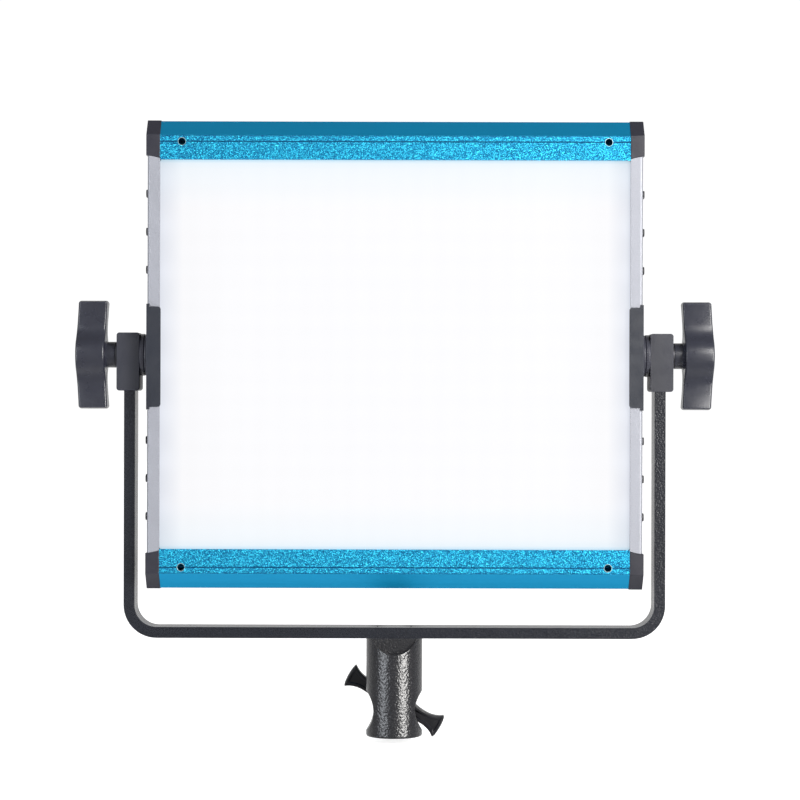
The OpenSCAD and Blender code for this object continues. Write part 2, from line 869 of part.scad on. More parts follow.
module yoke_frame() {
    bend_x = arm_x1 - bend_r;
    bend_z = bar_z + bend_r;
    color("#36393f") difference() {
        union() {
            along_y(-bar_d / 2, bar_d / 2) {
                translate([-bend_x, bar_z]) square([2 * bend_x, bar_t]);
                for (s = [0, 1]) mirror([s, 0]) {
                    translate([bend_x, bend_z]) bend_outline();
                    translate([arm_x0, bend_z]) square([bar_t, arm_top - bend_z]);
                }
            }
        }
        at_pivot() rod_x(pass_r, -arm_x1 - 1, arm_x1 + 1);
        for (x = [-1, 1]) translate([x * top_screw_x, 0, bar_z + bar_t])
            rotate([90, 0, 0]) flat_screw_hole(top_head_r, top_shank_r, top_screw_l);
    }
}

// Moulded block over the end of the right arm
module arm_block() {
    w = block_x1 - block_x0;
    h = block_top + block_low;
    difference() {
        translate([block_x0 + w / 2, 0, (block_top - block_low) / 2])
            along_y(-block_half_d, block_half_d) round_rect(w, h, block_r);
        span([arm_x0 - fit, -bar_d / 2 - fit, -block_low - 1],
             [arm_x1 + fit, bar_d / 2 + fit, arm_end + fit]);
        rod_x(pass_r, block_x0 - 1, block_x1 + 1);
    }
}

module arm_block_left() {
    color("#3f4149") at_pivot() mirror([1, 0, 0]) arm_block();
}

module arm_block_right() {
    color("#3f4149") at_pivot() arm_block();
}

// ---------------------------------------------------------------- stand adapter

module stand_adapter() {
    color("#2a2c30") difference() {
        rotate_extrude() polygon([
            [0, 0], [adapter_r - 1.2, 0], [adapter_r - 0.35, 0.35],
            [adapter_r, 1.2], [adapter_r, bar_z], [0, bar_z]
        ]);
        translate([0, 0, -1]) cylinder(r = socket_r, h = socket_h + 1);
        // Flats in line with the bar, ending in an arc
        for (s = [0, 1]) mirror([0, s, 0]) intersection() {
            span([-adapter_r - 1, -adapter_r - 1, 0], [adapter_r + 1, -flat_y, bar_z + 1]);
            translate([0, 0, flat_z]) rod_y(flat_r, -adapter_r - 2, 0);
        }
        // Waist
        for (x = [-1, 1]) translate([x * (adapter_r - scallop_deep + scallop_r), 0, scallop_z])
            rod_y(scallop_r, -adapter_r - 1, adapter_r + 1);
        translate([0, 0, lock_z]) rod_y(lock_r, 0, adapter_r + 1);
        for (x = [-1, 1]) translate([x * top_screw_x, 0, bar_z + bar_t])
            rotate([90, 0, 0]) flat_screw_hole(top_head_r, top_shank_r, top_screw_l);
    }
}

module adapter_screws() {
    color("#202124") for (x = [-1, 1]) translate([x * top_screw_x, 0, bar_z + bar_t - 0.05])
        rotate([90, 0, 0]) flat_screw(top_head_r, top_shank_r, top_screw_l);
}

// Outline of a two-winged grip, drawn with its wings up and down: a round hub, a waist at a distance
// from the middle, and wings that widen to the tip, joined by arcs that just touch
module wing_outline(span_l, tip, waist, at, hub) {
    lower_r = 1.01 * (pow(waist, 2) + pow(at, 2) - pow(hub, 2)) / (2 * (hub - waist));
    rise = span_l / 2 - at;
    upper_r = (pow(rise, 2) + pow(tip - waist, 2)) / (2 * (tip - waist));
    difference() {
        intersection() {
            circle(r = span_l / 2);
            union() {
                circle(r = hub);
                square([2 * tip + 1, span_l], center = true);
                square([1.5 * hub, 1.24 * at], center = true);
            }
        }
        for (x = [-1, 1], y = [-1, 1]) {
            intersection() {
                translate([x * (waist + lower_r), y * at]) circle(r = lower_r);
                translate([x * (hub + tip), y * (at / 2 - 1)])
                    square([2 * (hub + tip), at + 2], center = true);
            }
            intersection() {
                translate([x * (waist + upper_r), y * at]) circle(r = upper_r);
                translate([x * (hub + tip), y * (at + span_l / 2)])
                    square([2 * (hub + tip), span_l], center = true);
            }
        }
    }
}

module lock_handle() {
    color("#17181b") translate([0, 0, lock_z]) rotate([0, 90 + handle_turn, 0]) difference() {
        union() {
            along_y(handle_y0, handle_y1)
                wing_outline(handle_span, handle_tip, handle_waist, handle_waist_at, handle_hub);
            rod_y(handle_hub, handle_y0 - handle_boss, handle_y1 + handle_boss);
        }
        rod_y(lock_r, handle_y0 - 3, handle_y1 - 2);
    }
}

pad_t = 2;
pad_y0 = socket_r + 0.1;

module lock_stud() {
    color("silver") translate([0, 0, lock_z]) rod_y(lock_r - 0.05, pad_y0 + pad_t, handle_y1 - 2);
}

module clamp_pad() {
    color("#b08d3c") translate([0, 0, lock_z]) rod_y(lock_r - 0.25, pad_y0, pad_y0 + pad_t);
}

// ---------------------------------------------------------------- tilt knobs

module tilt_knob() {
    difference() {
        union() {
            difference() {
                intersection() {
                    along_x(knob_x0, knob_x1 + knob_rise + 1)
                        wing_outline(knob_span, knob_tip, knob_waist, waist_v, hub_r);
                    // The outer face rises gently to the middle
                    union() {
                        rod_x(knob_span, knob_x0 - 1, knob_x1 - knob_rise);
                        translate([knob_x1 - knob_rise, 0, 0]) rotate([0, 90, 0])
                            cylinder(r1 = knob_span, r2 = 1, h = 2 * knob_rise);
                    }
                }
                // The inner face is slightly hollow
                translate([knob_x0 - knob_hollow, 0, 0]) rotate([0, 90, 0])
                    cylinder(r1 = knob_span - 2 * knob_rim - hub_r, r2 = hub_r, h = 2 * knob_hollow);
            }
            rod_x(neck_d / 2, block_x1 + thrust_t, knob_x0 + knob_hollow + 1);
        }
        rod_x(stud_r + 0.02, block_x1, stud_end + 0.1);
    }
}

module tilt_knob_left() {
    color("#33353d") at_pivot() mirror([1, 0, 0]) tilt_knob();
}

module tilt_knob_right() {
    color("#33353d") at_pivot() tilt_knob();
}

module knob_stud() {
    rod_x(stud_r, frame_x - boss_in + 2, stud_end);
}

module knob_stud_left() {
    color("silver") at_pivot() mirror([1, 0, 0]) knob_stud();
}

module knob_stud_right() {
    color("silver") at_pivot() knob_stud();
}

module thrust_washer() {
    difference() {
        rod_x(neck_d / 2, block_x1 + 0.05, block_x1 + thrust_t);
        rod_x(stud_d / 2 + 0.02, block_x1 - 1, block_x1 + thrust_t + 1);
    }
}

module thrust_washer_left() {
    color("#55575c") at_pivot() mirror([1, 0, 0]) thrust_washer();
}

module thrust_washer_right() {
    color("#55575c") at_pivot() thrust_washer();
}

// ---------------------------------------------------------------- every node, drawn only here

yoke_frame();
arm_block_left();
arm_block_right();
yoke_washer_left();
yoke_washer_right();
stand_adapter();
adapter_screws();
top_rail();
bottom_rail();
corner_cap_top_left();
corner_cap_top_right();
corner_cap_bottom_left();
corner_cap_bottom_right();
cap_screws();
side_frame_left();
side_frame_right();
side_vents_left();
side_vents_right();
pivot_plate_left();
pivot_plate_right();
pivot_screws();
panel_washer_left();
panel_washer_right();
diffuser();
light_chamber();
led_board();
warm_leds();
cool_leds();
heat_spreader();
driver_board();
wiring_harness();
rear_cover();
cover_screws();
control_housing();
control_board();
display_module();
display_window();
encoders();
switch_housing();
dc_inlet();
power_contacts();
battery_plate_left();
battery_plate_right();
tilt_knob_left();
tilt_knob_right();
knob_stud_left();
knob_stud_right();
thrust_washer_left();
thrust_washer_right();
lock_handle();
lock_stud();
clamp_pad();
brightness_knob();
colour_knob();
power_rocker();
mode_button();
menu_button();
battery_latch_left();
battery_latch_right();
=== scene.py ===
import json
import math

import bmesh
import bpy
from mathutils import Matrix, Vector


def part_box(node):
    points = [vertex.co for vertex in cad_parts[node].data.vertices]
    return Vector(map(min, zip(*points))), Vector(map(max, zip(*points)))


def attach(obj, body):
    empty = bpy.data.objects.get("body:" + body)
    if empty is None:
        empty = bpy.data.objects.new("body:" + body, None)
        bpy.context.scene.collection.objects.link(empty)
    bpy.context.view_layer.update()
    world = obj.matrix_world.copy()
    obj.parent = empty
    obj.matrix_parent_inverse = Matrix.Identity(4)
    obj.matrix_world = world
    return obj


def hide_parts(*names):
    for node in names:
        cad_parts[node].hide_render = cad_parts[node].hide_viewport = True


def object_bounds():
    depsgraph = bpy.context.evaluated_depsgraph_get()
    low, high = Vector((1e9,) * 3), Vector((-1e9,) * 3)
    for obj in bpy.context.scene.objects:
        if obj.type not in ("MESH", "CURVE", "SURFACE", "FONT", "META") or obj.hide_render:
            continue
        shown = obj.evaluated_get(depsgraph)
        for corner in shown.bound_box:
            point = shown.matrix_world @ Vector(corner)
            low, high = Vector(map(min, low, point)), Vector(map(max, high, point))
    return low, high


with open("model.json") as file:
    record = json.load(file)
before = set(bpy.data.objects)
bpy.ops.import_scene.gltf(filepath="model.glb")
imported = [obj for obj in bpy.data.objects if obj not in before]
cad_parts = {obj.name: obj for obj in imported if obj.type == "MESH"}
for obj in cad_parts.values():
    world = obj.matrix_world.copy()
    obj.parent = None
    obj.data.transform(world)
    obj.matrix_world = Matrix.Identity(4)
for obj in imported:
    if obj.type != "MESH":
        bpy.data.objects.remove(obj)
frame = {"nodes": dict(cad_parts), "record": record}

# The looks of an LED panel light on its yoke. Lengths are in metres, in the CAD model's frame: X
# across the panel, Y from the lit face to the back, Z up. Looks are named after the record's
# material slots, and every pattern in them is sized in cells or waves per metre.

cad_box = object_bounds()
MM = 0.001
NODES = frame["nodes"]


def centre(node):
    """The middle of a CAD node's box."""
    low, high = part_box(node)
    return (low + high) / 2


PIVOT = Vector((0, 0, centre("knob_stud_left").z))
SIDES = {"left": -1, "right": 1}
# The accessory holes in the rails: their span across and their height from the panel's middle
HOLE_SPAN = 223 * MM
HOLE_UP = 111.2 * MM

# ---------------------------------------------------------------- material graphs


class Graph:
    """A node material under construction, with short ways to add and join nodes."""

    def __init__(self, name):
        self.material = bpy.data.materials.new(name)
        self.material.use_nodes = True
        self.tree = self.material.node_tree
        self.shader = self.tree.nodes["Principled BSDF"]
        self.place = self.node("ShaderNodeTexCoord").outputs["Object"]
        self.heights = []

    def node(self, kind, **settings):
        made = self.tree.nodes.new(kind)
        for key, value in settings.items():
            setattr(made, key, value)
        return made

    def feed(self, socket, value):
        """Joins an output to a socket, or writes a plain value in it."""
        if isinstance(value, bpy.types.NodeSocket):
            self.tree.links.new(value, socket)
        else:
            socket.default_value = value

    def math(self, operation, a, b=0.0, c=0.0, clamp=False):
        made = self.node("ShaderNodeMath", operation=operation, use_clamp=clamp)
        for socket, value in zip(made.inputs, (a, b, c)):
            self.feed(socket, value)
        return made.outputs[0]

    def scaled(self, factors):
        """The place, stretched by three factors."""
        made = self.node("ShaderNodeVectorMath", operation="MULTIPLY")
        self.feed(made.inputs[0], self.place)
        made.inputs[1].default_value = factors
        return made.outputs[0]

    def noise(self, scale, detail, rough=0.5, vector=None):
        made = self.node("ShaderNodeTexNoise")
        self.feed(made.inputs["Vector"], vector or self.place)
        made.inputs["Scale"].default_value = scale
        made.inputs["Detail"].default_value = detail
        made.inputs["Roughness"].default_value = rough
        return made.outputs["Fac"]

    def cells(self, scale, feature="F1", output="Distance"):
        made = self.node("ShaderNodeTexVoronoi", feature=feature)
        self.feed(made.inputs["Vector"], self.place)
        made.inputs["Scale"].default_value = scale
        return made.outputs[output]

    def remap(self, value, low, high, to_low=0.0, to_high=1.0):
        made = self.node("ShaderNodeMapRange", clamp=True)
        self.feed(made.inputs["Value"], value)
        self.feed(made.inputs["From Min"], low)
        self.feed(made.inputs["From Max"], high)
        self.feed(made.inputs["To Min"], to_low)
        self.feed(made.inputs["To Max"], to_high)
        return made.outputs["Result"]

    def mix(self, factor, a, b):
        made = self.node("ShaderNodeMix", data_type="RGBA", clamp_factor=True)
        self.feed(made.inputs[0], factor)
        for socket, value in ((made.inputs[6], a), (made.inputs[7], b)):
            self.feed(socket, value if isinstance(value, bpy.types.NodeSocket) else (*value, 1))
        return made.outputs[2]

    def axes(self, vector=None):
        made = self.node("ShaderNodeSeparateXYZ")
        self.feed(made.inputs[0], vector or self.place)
        return made.outputs

    def facing(self):
        """The surface's normal in the object's own frame, as three values."""
        return self.axes(self.tree.nodes["Texture Coordinate"].outputs["Normal"])

    def edges(self, radius):
        """1 along convex or concave edges, fading out within radius."""
        bevel = self.node("ShaderNodeBevel", samples=6)
        bevel.inputs["Radius"].default_value = radius
        flat = self.node("ShaderNodeNewGeometry").outputs["Normal"]
        dot = self.node("ShaderNodeVectorMath", operation="DOT_PRODUCT")
        self.feed(dot.inputs[0], bevel.outputs["Normal"])
        self.feed(dot.inputs[1], flat)
        return self.remap(dot.outputs["Value"], 1.0, 0.80)

    def relief(self, height, depth, strength=1.0):
        """Adds a bump of that depth in metres on top of those added before."""
        self.heights.append((height, depth, strength))

    def done(self, colour, roughness, **sockets):
        """Joins the colour, roughness and bumps to the shader, and returns the material."""
        self.feed(self.shader.inputs["Base Color"],
                  colour if isinstance(colour, bpy.types.NodeSocket) else (*colour, 1))
        self.feed(self.shader.inputs["Roughness"], roughness)
        for key, value in sockets.items():
            self.feed(self.shader.inputs[key.replace("_", " ")], value)
        normal = None
        for height, depth, strength in self.heights:
            bump = self.node("ShaderNodeBump")
            bump.inputs["Strength"].default_value = strength
            bump.inputs["Distance"].default_value = depth
            self.feed(bump.inputs["Height"], height)
            if normal is not None:
                self.feed(bump.inputs["Normal"], normal)
            normal = bump.outputs["Normal"]
        if normal is not None:
            self.feed(self.shader.inputs["Normal"], normal)
        return self.material


def tint(colour, factor):
    """The colour made darker or lighter, with no value over 1."""
    return tuple(min(1.0, c * factor) for c in colour)


def moulded(name, colour, rough, grain=2600, depth=0.02 * MM, edge=1.5, mottle=0.15):
    """Moulded plastic: fine spark-eroded grain, slow shade changes, and lighter edges: wear and a
    painted highlight.
    """
    g = Graph(name)
    shade = g.mix(g.noise(38, 4), tint(colour, 1 - mottle), tint(colour, 1 + mottle))
    # Painted highlight: the edges are painted lighter in patches, by the factor edge, partly for
    # wear and partly for light on their rounds
    edge_wear_and_highlight = g.math("MULTIPLY", g.edges(0.5 * MM), g.remap(g.noise(420, 3), 0.35, 0.7))
    shade = g.mix(edge_wear_and_highlight, shade, tint(colour, edge))
    g.relief(g.noise(grain, 3, 0.6), depth)
    g.relief(g.cells(grain * 0.45), depth * 0.6)
    roughness = g.remap(g.noise(160, 3), 0.3, 0.7, rough - 0.05, rough + 0.06)
    return g.done(shade, roughness)


def powder_coat(name, colour, rough, lump, depth, **sockets):
    """Textured paint: low lumps in two sizes, with brighter specks where their tops are rubbed."""
    g = Graph(name)
    lumps = g.cells(lump, feature="SMOOTH_F1")
    fine = g.noise(lump * 2.6, 3, 0.65)
    tops = g.remap(lumps, 0.32, 0.12)
    shade = g.mix(g.noise(30, 3), tint(colour, 0.86), tint(colour, 1.14))
    shade = g.mix(g.math("MULTIPLY", tops, 0.5), shade, tint(colour, 1.9))
    # Painted highlight: the edges are painted lighter, as light on their rounds
    shade = g.mix(g.math("MULTIPLY", g.edges(0.4 * MM), 0.6), shade, tint(colour, 2.2))
    g.relief(lumps, -depth)
    g.relief(fine, depth * 0.2)
    roughness = g.remap(fine, 0.3, 0.7, rough - 0.06, rough + 0.07)
    return g.done(shade, roughness, **sockets)


def blasted_metal(name, colour, rough, metallic=1.0):
    """Bead-blasted and anodised metal: an even fine grain."""
    g = Graph(name)
    grain = 1500
    shade = g.mix(g.noise(45, 3), tint(colour, 0.94), tint(colour, 1.06))
    shade = g.mix(g.remap(g.noise(grain, 1), 0.35, 0.65), tint(colour, 0.94), shade)
    g.relief(g.noise(grain, 2, 0.6), 0.012 * MM)
    roughness = g.remap(g.noise(90, 3), 0.3, 0.7, rough - 0.04, rough + 0.05)
    return g.done(shade, roughness, Metallic=metallic)


def turned_metal(name, colour, axis, rough=0.28):
    """Metal cut on a lathe, with fine rings across the axis given as 0, 1 or 2."""
    g = Graph(name)
    stretch = [60, 60, 60]
    stretch[axis] = 9000
    rings = g.noise(1, 3, 0.7, vector=g.scaled(stretch))
    shade = g.mix(rings, tint(colour, 0.8), tint(colour, 1.12))
    g.relief(rings, 0.004 * MM)
    roughness = g.remap(rings, 0.3, 0.7, rough - 0.06, rough + 0.08)
    return g.done(shade, roughness, Metallic=1.0)


def sparkling_blue(name):
    """The rails: coarse grain on the faces that look along Y, its lightest cells partly a painted
    sparkle, and a smooth drawn finish on the others."""
    g = Graph(name)
    face = g.facing()
    front = g.remap(g.math("ABSOLUTE", face[1]), 0.85, 0.95)
    # The grain's three tones; the lightest is partly a painted sparkle of its facets
    deep, mid, light = (0.0, 0.065, 0.165), (0.001, 0.175, 0.340), (0.045, 0.640, 0.880)
    coarse = g.cells(2100, output="Color")
    fine = g.cells(4600, output="Color")
    pick = g.math("MULTIPLY_ADD", g.axes(coarse)[0], 0.6, g.math("MULTIPLY", g.axes(fine)[1], 0.4))
    grain = g.mix(g.remap(pick, 0.15, 0.55), deep, mid)
    grain = g.mix(g.remap(pick, 0.55, 0.9), grain, light)
    drawn = g.noise(1, 2, 0.6, vector=g.scaled((20, 2600, 2600)))
    smooth = g.mix(drawn, (0.002, 0.235, 0.460), (0.004, 0.275, 0.520))
    shade = g.mix(front, smooth, grain)
    # Painted shade: dark lines along the groove that the accessory holes lie on and the brink of
    # the slope
    up = g.math("ABSOLUTE", g.math("SUBTRACT", g.axes()[2], PIVOT.z))
    from_holes = g.math("ABSOLUTE", g.math("SUBTRACT", up, HOLE_UP))
    groove_shade = g.remap(from_holes, 0.45 * MM, 0.25 * MM, 0, 0.9)
    from_brink = g.math("ABSOLUTE", g.math("SUBTRACT", up, HOLE_UP + 3.0 * MM))
    brink_shade = g.remap(from_brink, 0.35 * MM, 0.2 * MM, 0, 0.6)
    groove_shade = g.math("ADD", groove_shade, brink_shade, clamp=True)
    shade = g.mix(g.math("MULTIPLY", groove_shade, front), shade, (0.0, 0.05, 0.13))
    g.relief(g.math("MULTIPLY", pick, front), 0.13 * MM, 0.8)
    g.relief(drawn, 0.002 * MM)
    return g.done(shade, g.remap(front, 0, 1, 0.32, 0.36), Metallic=0.75)


def bare_board(name, colour, copper):
    """A circuit board: solder mask with tracks faintly raised under it."""
    g = Graph(name)
    wander = g.math("MULTIPLY", g.noise(60, 0), 6 * MM)
    tracks = g.math("PINGPONG", g.math("ADD", g.axes()[0], wander), 1.3 * MM)
    line = g.remap(tracks, 0.75 * MM, 0.65 * MM)
    shade = g.mix(g.math("MULTIPLY", line, 0.55), colour, copper)
    g.relief(line, 0.03 * MM)
    return g.done(shade, 0.3, Coat_Weight=0.4)


def lit_diffuser(name):
    """The opal sheet, lit from behind: bright all over, with the lamps' grid faintly showing and
    the light falling off towards the frames."""
    g = Graph(name)
    lamps_low = Vector(map(min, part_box("warm_leds")[0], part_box("cool_leds")[0]))
    lamps_high = Vector(map(max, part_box("warm_leds")[1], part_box("cool_leds")[1]))
    columns, rows = 20, 16
    lamp = Vector((3.5, 0, 2.8)) * MM
    pitch_x = (lamps_high.x - lamps_low.x - lamp.x) / (columns - 1)
    pitch_z = (lamps_high.z - lamps_low.z - lamp.z) / (rows - 1)
    half_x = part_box("side_frame_right")[0].x
    half_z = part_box("top_rail")[0].z - PIVOT.z
    axes = g.axes()
    x = g.math("SUBTRACT", axes[0], lamps_low.x + lamp.x / 2)
    z = g.math("SUBTRACT", axes[2], lamps_low.z + lamp.z / 2)
    wave_x = g.math("COSINE", g.math("MULTIPLY", x, 2 * math.pi / pitch_x))
    wave_z = g.math("COSINE", g.math("MULTIPLY", z, 2 * math.pi / pitch_z))
    grid = g.math("MULTIPLY", g.math("ADD", wave_x, wave_z), 0.0025)
    from_side = g.math("SUBTRACT", half_x, g.math("ABSOLUTE", axes[0]))
    height = g.math("SUBTRACT", axes[2], PIVOT.z)
    from_top = g.math("SUBTRACT", half_z, g.math("ABSOLUTE", height))
    # Every second gap between the rows is darker at the sides
    pair = g.math("COSINE", g.math("MULTIPLY", z, math.pi / pitch_z))
    dim = g.math("MULTIPLY", g.remap(from_side, 11 * MM, 3 * MM), g.remap(pair, -1, 1, 0.0, 0.035))
    near_fall = g.remap(from_side, 12 * MM, 0, 0, 0.13)
    edge = g.math("ADD", near_fall, g.remap(from_side, 40 * MM, 8 * MM, 0, 0.025))
    level = g.math("SUBTRACT", g.math("ADD", 0.87, grid), g.math("ADD", dim, edge))
    cloud = g.math("MULTIPLY", g.math("SUBTRACT", g.noise(18, 2), 0.5), 0.012)
    level = g.math("ADD", level, cloud)
    glow = g.mix(g.remap(from_side, 12 * MM, 0), (1.0, 1.0, 1.018), (0.97, 1.01, 1.11))
    # Painted reflection: the blue of the rails, painted into the glow near them
    wide_rail_reflection = g.remap(from_top, 25 * MM, 0, 0, 0.30)
    rail_reflection = g.math("ADD", wide_rail_reflection, g.remap(from_top, 5 * MM, 0, 0, 0.25))
    rail_reflection = g.math("ADD", rail_reflection, g.remap(from_top, 1.8 * MM, 0.3 * MM, 0, 0.6))
    glow = g.mix(rail_reflection, glow, (0.66, 0.88, 1.02))
    g.relief(g.noise(1400, 2), 0.004 * MM)
    return g.done((0.04, 0.04, 0.042), 0.5, Emission_Color=glow, Emission_Strength=level,
                  Specular_IOR_Level=0.1)


def smoked_window(name):
    """Dark clear plastic with a faint smear."""
    g = Graph(name)
    smear = g.noise(70, 4, 0.6)
    g.relief(smear, 0.01 * MM)
    return g.done((0.03, 0.035, 0.04), g.remap(smear, 0.3, 0.8, 0.04, 0.14), Alpha=0.42,
                  Coat_Weight=0.5)


def liquid_crystal(name):
    """The display's lit face, with the fine gaps between its dots."""
    g = Graph(name)
    axes = g.axes()
    fine = 0.35 * MM
    dots = g.math("MAXIMUM", g.math("PINGPONG", axes[0], fine), g.math("PINGPONG", axes[2], fine))
    gaps = g.remap(dots, 0.28 * MM, 0.35 * MM, 0, 0.35)
    shade = g.mix(gaps, (0.36, 0.44, 0.37), (0.26, 0.33, 0.27))
    return g.done(shade, 0.25, Emission_Color=(0.45, 0.62, 0.52, 1), Emission_Strength=0.35)


def phosphor(name, colour):
    """A lamp's glowing grain under its clear coat."""
    g = Graph(name)
    shade = g.mix(g.noise(2500, 3), tint(colour, 0.85), tint(colour, 1.1))
    g.relief(g.noise(3000, 2), 0.02 * MM)
    return g.done(shade, 0.35, Emission_Color=shade, Emission_Strength=0.6, Coat_Weight=0.6)


def soft_touch(name, colour):
    """Rubbery paint, worn pale along the edges."""
    g = Graph(name)
    shade = g.mix(g.noise(90, 4), tint(colour, 0.8), tint(colour, 1.3))
    shade = g.mix(g.math("MULTIPLY", g.edges(0.3 * MM), 0.7), shade, tint(colour, 2.4))
    g.relief(g.noise(3800, 3), 0.012 * MM)
    return g.done(shade, g.remap(g.noise(200, 3), 0.3, 0.7, 0.52, 0.66), Sheen_Weight=0.25)


def clear_red(name):
    """Clear red plastic, faintly lit from inside."""
    g = Graph(name)
    shade = g.mix(g.noise(60, 3), (0.50, 0.008, 0.012), (0.66, 0.02, 0.02))
    g.relief(g.noise(2600, 2), 0.008 * MM)
    return g.done(shade, g.remap(g.noise(150, 3), 0.3, 0.7, 0.2, 0.3), Coat_Weight=0.5,
                  Emission_Color=(0.8, 0.02, 0.02, 1), Emission_Strength=0.12)


def clear_lens(name):
    """The green power lens, lit."""
    g = Graph(name)
    shade = g.mix(g.noise(900, 2), (0.02, 0.50, 0.10), (0.04, 0.70, 0.16))
    g.relief(g.noise(1500, 2), 0.004 * MM)
    return g.done(shade, 0.12, Emission_Color=(0.1, 1.0, 0.3, 1), Emission_Strength=0.6,
                  Coat_Weight=0.5)


def printed_ink(name, colour):
    """Matt ink with a fine mottle."""
    g = Graph(name)
    shade = g.mix(g.noise(900, 3), tint(colour, 0.85), colour)
    g.relief(g.noise(2000, 2), 0.006 * MM)
    return g.done(shade, 0.55)


LOOKS = {
    "anodised_blue": sparkling_blue("anodised_blue_look"),
    "cap_plastic": moulded("cap_plastic_look", (0.013, 0.013, 0.020), 0.38, edge=2.6),
    "black_screws": turned_metal("black_screws_look", (0.06, 0.06, 0.065), 1, 0.35),
    "frame_silver": blasted_metal("frame_silver_look", (0.232, 0.238, 0.268), 0.45, metallic=0.3),
    "vent_black": moulded("vent_black_look", (0.012, 0.012, 0.014), 0.5),
    "pivot_black": moulded("pivot_black_look", (0.012, 0.014, 0.021), 0.36, edge=2.4),
    "washer_plastic": moulded("washer_plastic_look", (0.030, 0.031, 0.042), 0.32, edge=3.0),
    "opal_diffuser": lit_diffuser("opal_diffuser_look"),
    "chamber_white": moulded("chamber_white_look", (0.86, 0.86, 0.85), 0.6, mottle=0.02, edge=1.0),
    "lamp_board": bare_board("lamp_board_look", (0.80, 0.82, 0.80), (0.70, 0.72, 0.70)),
    "lamp_warm": phosphor("lamp_warm_look", (0.88, 0.60, 0.18)),
    "lamp_cool": phosphor("lamp_cool_look", (0.92, 0.86, 0.50)),
    "bare_aluminium": blasted_metal("bare_aluminium_look", (0.66, 0.67, 0.69), 0.36),
    "circuit_board": bare_board("circuit_board_look", (0.012, 0.09, 0.035), (0.06, 0.22, 0.08)),
    "lead_insulation": moulded("lead_insulation_look", (0.42, 0.02, 0.02), 0.4),
    "cover_black": moulded("cover_black_look", (0.022, 0.023, 0.027), 0.55, grain=1500,
                           depth=0.05 * MM, edge=2.4),
    "housing_black": moulded("housing_black_look", (0.017, 0.018, 0.021), 0.42, grain=2200,
                             edge=2.6),
    "display_panel": liquid_crystal("display_panel_look"),
    "window_smoke": smoked_window("window_smoke_look"),
    "encoder_metal": turned_metal("encoder_metal_look", (0.56, 0.56, 0.57), 1),
    "contact_metal": turned_metal("contact_metal_look", (0.80, 0.58, 0.24), 2, 0.22),
    "knob_black": moulded("knob_black_look", (0.016, 0.017, 0.025), 0.30, grain=3200,
                          depth=0.012 * MM, edge=4.0),
    "handle_black": moulded("handle_black_look", (0.003, 0.003, 0.005), 0.35, grain=3000,
                            edge=8.0),
    "stud_steel": turned_metal("stud_steel_look", (0.60, 0.61, 0.63), 0),
    "thrust_metal": turned_metal("thrust_metal_look", (0.10, 0.10, 0.11), 0, 0.35),
    "pad_brass": turned_metal("pad_brass_look", (0.66, 0.48, 0.20), 1),
    "yoke_black": powder_coat("yoke_black_look", (0.007, 0.008, 0.012), 0.28, lump=1200,
                              depth=0.13 * MM),
    "block_black": moulded("block_black_look", (0.016, 0.017, 0.025), 0.40, grain=2000, edge=6.0),
    "adapter_black": powder_coat("adapter_black_look", (0.006, 0.006, 0.008), 0.29, lump=1000,
                                 depth=0.19 * MM, Specular_IOR_Level=0.8),
    "dial_black": soft_touch("dial_black_look", (0.014, 0.014, 0.016)),
    "rocker_red": clear_red("rocker_red_look"),
    "button_grey": moulded("button_grey_look", (0.10, 0.10, 0.12), 0.5),
    "latch_grey": moulded("latch_grey_look", (0.15, 0.16, 0.18), 0.45),
    "print_white": printed_ink("print_white_look", (0.80, 0.81, 0.82)),
    "segment_dark": printed_ink("segment_dark_look", (0.03, 0.04, 0.04)),
    "label_silver": blasted_metal("label_silver_look", (0.50, 0.51, 0.53), 0.4),
    "lens_green": clear_lens("lens_green_look"),
    "cut_rim": turned_metal("cut_rim_look", (0.60, 0.88, 0.98), 1, 0.35),
}


def paint(piece, look):
    """Gives a piece one look in place of those that it has."""
    piece.data.materials.clear()
    piece.data.materials.append(LOOKS[look])


for entry in frame["record"]["subparts"]:
    paint(NODES[entry["node"]], entry["material_slot"])

# ---------------------------------------------------------------- edges of the CAD pieces


SHARP_ANGLE = math.radians(28)


def clean_group():
    """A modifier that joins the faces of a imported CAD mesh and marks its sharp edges."""
    group = bpy.data.node_groups.new("clean_cad", "GeometryNodeTree")
    group.interface.new_socket("Geometry", in_out="INPUT", socket_type="NodeSocketGeometry")
    group.interface.new_socket("Geometry", in_out="OUTPUT", socket_type="NodeSocketGeometry")
    start = group.nodes.new("NodeGroupInput")
    end = group.nodes.new("NodeGroupOutput")
    plain = group.nodes.new("GeometryNodeRemoveAttribute")
    plain.inputs["Name"].default_value = "custom_normal"
    weld = group.nodes.new("GeometryNodeMergeByDistance")
    weld.inputs["Distance"].default_value = 0.002 * MM
    faces = group.nodes.new("GeometryNodeSetShadeSmooth")
    faces.domain = "FACE"
    edges = group.nodes.new("GeometryNodeSetShadeSmooth")
    edges.domain = "EDGE"
    edges.inputs["Shade Smooth"].default_value = False
    angle = group.nodes.new("GeometryNodeInputMeshEdgeAngle")
    sharp = group.nodes.new("FunctionNodeCompare")
    sharp.operation = "GREATER_THAN"
    sharp.inputs["B"].default_value = SHARP_ANGLE
    link = group.links.new
    link(start.outputs[0], plain.inputs["Geometry"])
    link(plain.outputs["Geometry"], weld.inputs["Geometry"])
    link(weld.outputs["Geometry"], faces.inputs["Geometry"])
    link(faces.outputs["Geometry"], edges.inputs["Geometry"])
    link(angle.outputs["Unsigned Angle"], sharp.inputs["A"])
    link(sharp.outputs["Result"], edges.inputs["Selection"])
    link(edges.outputs["Geometry"], end.inputs[0])
    return group


CLEAN = clean_group()


